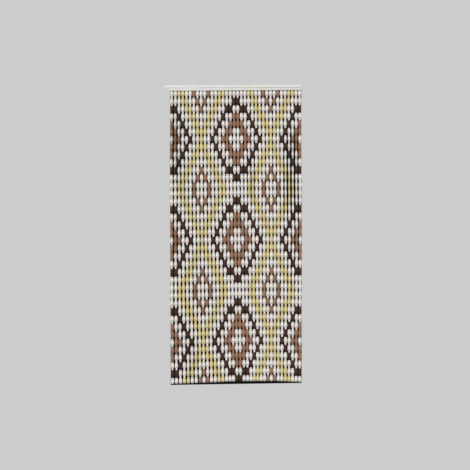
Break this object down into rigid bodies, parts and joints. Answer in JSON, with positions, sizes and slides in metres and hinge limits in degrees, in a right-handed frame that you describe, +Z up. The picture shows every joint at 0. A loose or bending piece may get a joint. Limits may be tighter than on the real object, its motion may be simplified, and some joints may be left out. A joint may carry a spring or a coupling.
{
  "type": "fly screen curtain of plastic sleeve strands with its header channel and wall rail",
  "caption": "Door fly curtain: hanging strands of waisted hollow plastic sleeves in a lozenge chart of white, straw and browns, carried by a header channel on a wall rail.",
  "frame": {"origin": "middle of the wall rail's back face", "axes": "+Y into the wall, -Y is the curtain's front, +Z up, +X to the right as seen from the front"},
  "size_m": [0.9297, 0.0224, 2.0114],
  "materials": {
    "rail": "off-white plastic, low sheen",
    "sleeves": "white moulded plastic with a soft sheen; straw, brown and dark brown sleeves follow the chart"
  },
  "bodies": {
    "root": {"wall_rail": "rail", "header": "rail", "strands_1": "sleeves", "strands_2": "sleeves", "strands_3": "sleeves", "strands_4": "sleeves"}
  },
  "joints": []
}
